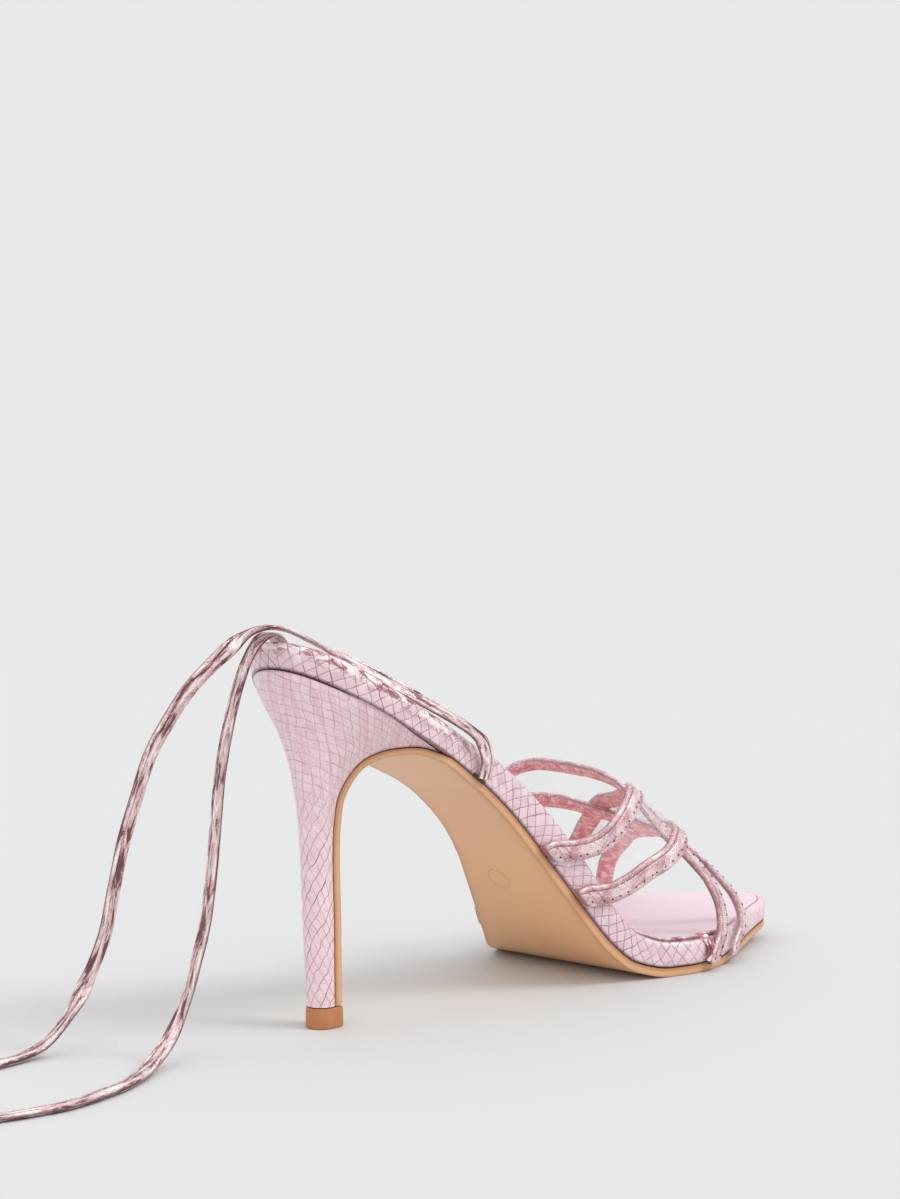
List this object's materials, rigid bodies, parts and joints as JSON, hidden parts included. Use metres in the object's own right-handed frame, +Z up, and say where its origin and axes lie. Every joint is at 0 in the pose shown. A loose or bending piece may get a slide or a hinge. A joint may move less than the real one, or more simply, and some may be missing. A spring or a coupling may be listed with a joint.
{
  "type": "lace up heeled sandal",
  "caption": "Left high-heeled open sandal with two crossing clear bands edged by narrow foil straps, a slender covered heel and two long loose flat ties.",
  "frame": {"origin": "middle of the top piece under the heel, on the floor that the shoe stands on", "axes": "+X along the shoe to the toe, +Y to the wearer's left, the outer side of this left shoe, +Z up"},
  "size_m": [0.3345, 0.0779, 0.1158],
  "materials": {
    "rose_foil": "embossed metallic foil",
    "rose_lining": "smooth satin",
    "tan_sole": "satin",
    "top_piece_rubber": "matte",
    "clear_film": "clear and glossy"
  },
  "bodies": {
    "root": {"insole_board": "rose_foil", "insole_sock": "rose_lining", "outsole": "tan_sole", "heel": "rose_foil", "top_piece": "top_piece_rubber", "upper_straps": "rose_foil", "clear_band_over": "clear_film", "clear_band_under": "clear_film", "tie_inner": "rose_foil", "tie_outer": "rose_foil"}
  },
  "joints": []
}
